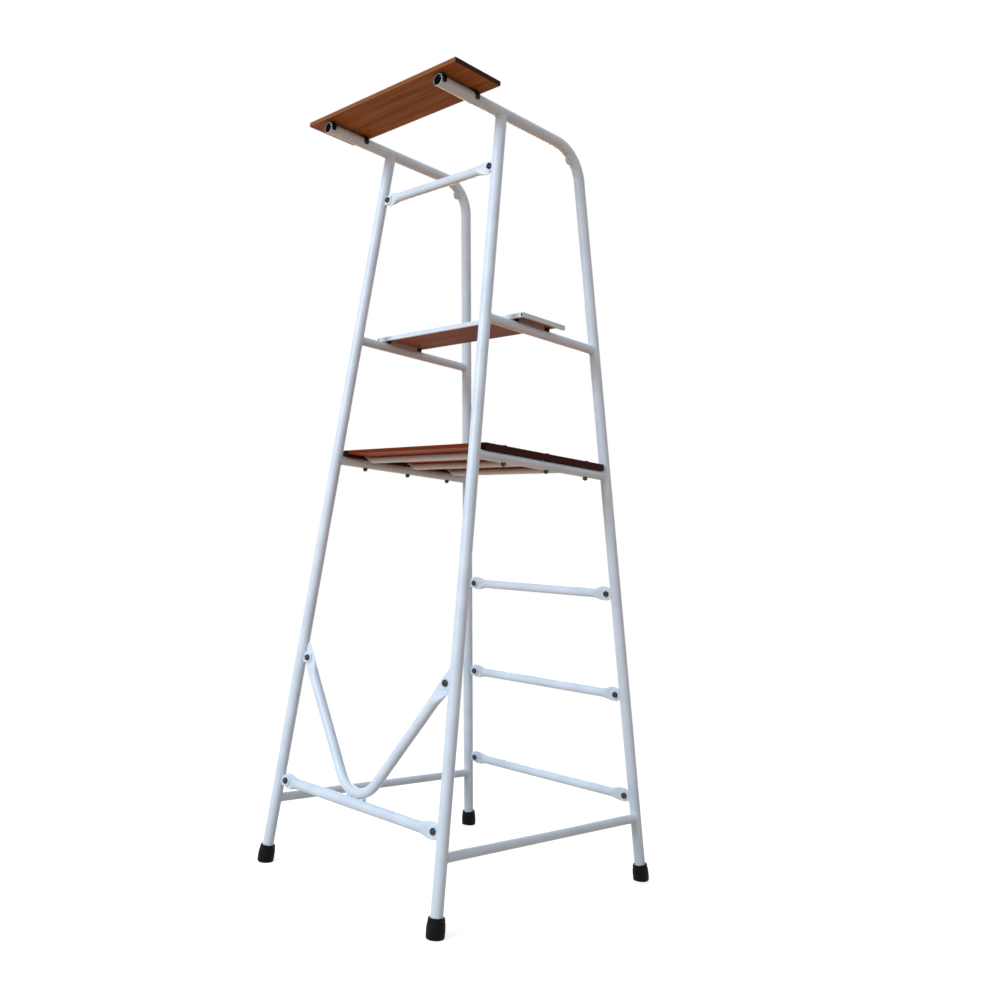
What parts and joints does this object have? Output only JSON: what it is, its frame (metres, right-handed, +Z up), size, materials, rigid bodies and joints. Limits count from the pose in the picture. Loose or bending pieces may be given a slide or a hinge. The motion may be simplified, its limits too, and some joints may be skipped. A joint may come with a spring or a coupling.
{
  "type": "volleyball referee chair",
  "caption": "Tall tubular stand for a volleyball referee: leaning legs, rear rungs to climb, a wooden standing platform, a narrow seat board and a score table.",
  "frame": {"origin": "on the floor, under the middle of the whole stand's outline", "axes": "+Z up; -Y to the front, where the score table is; +X to the stand's right as seen from the front"},
  "size_m": [0.8494, 1, 2.3345],
  "materials": {
    "paint": "satin",
    "fastener_steel": "dark zinc",
    "screw_steel": "bright zinc",
    "black_plastic": "matt",
    "cap_rubber": "matt",
    "platform_wood": "varnished",
    "strip_wood": "dark stained",
    "seat_wood": "varnished",
    "table_wood": "varnished"
  },
  "bodies": {
    "root": {"left_front_leg": "paint", "right_front_leg": "paint", "left_rear_leg_and_rail": "paint", "right_rear_leg_and_rail": "paint", "left_stretcher": "paint", "right_stretcher": "paint", "left_platform_rail": "paint", "right_platform_rail": "paint", "left_seat_rail": "paint", "right_seat_rail": "paint", "top_crossbar": "paint", "lower_crossbar": "paint", "v_brace": "paint", "v_brace_gussets": "paint", "lower_rung": "paint", "middle_rung": "paint", "upper_rung": "paint", "top_crossbar_ears": "paint", "lower_crossbar_ears": "paint", "v_brace_ears": "paint", "rung_ears": "paint", "bend_lugs": "paint", "frame_bolts": "fastener_steel", "frame_washers": "fastener_steel", "frame_nuts": "fastener_steel", "front_batten": "paint", "middle_batten": "paint", "rear_batten": "paint", "platform_pads": "black_plastic", "platform_board": "platform_wood", "left_platform_strip": "strip_wood", "right_platform_strip": "strip_wood", "platform_screws": "screw_steel", "platform_bolts": "fastener_steel", "platform_washers": "fastener_steel", "platform_nuts": "fastener_steel", "seat_pads": "black_plastic", "seat_board": "seat_wood", "seat_front_trim": "paint", "left_seat_trim": "paint", "right_seat_trim": "paint", "seat_screws": "screw_steel", "table_saddles": "black_plastic", "table_board": "table_wood", "table_screws": "screw_steel", "left_front_foot_cap": "cap_rubber", "right_front_foot_cap": "cap_rubber", "left_rear_foot_cap": "cap_rubber", "right_rear_foot_cap": "cap_rubber"}
  },
  "joints": []
}
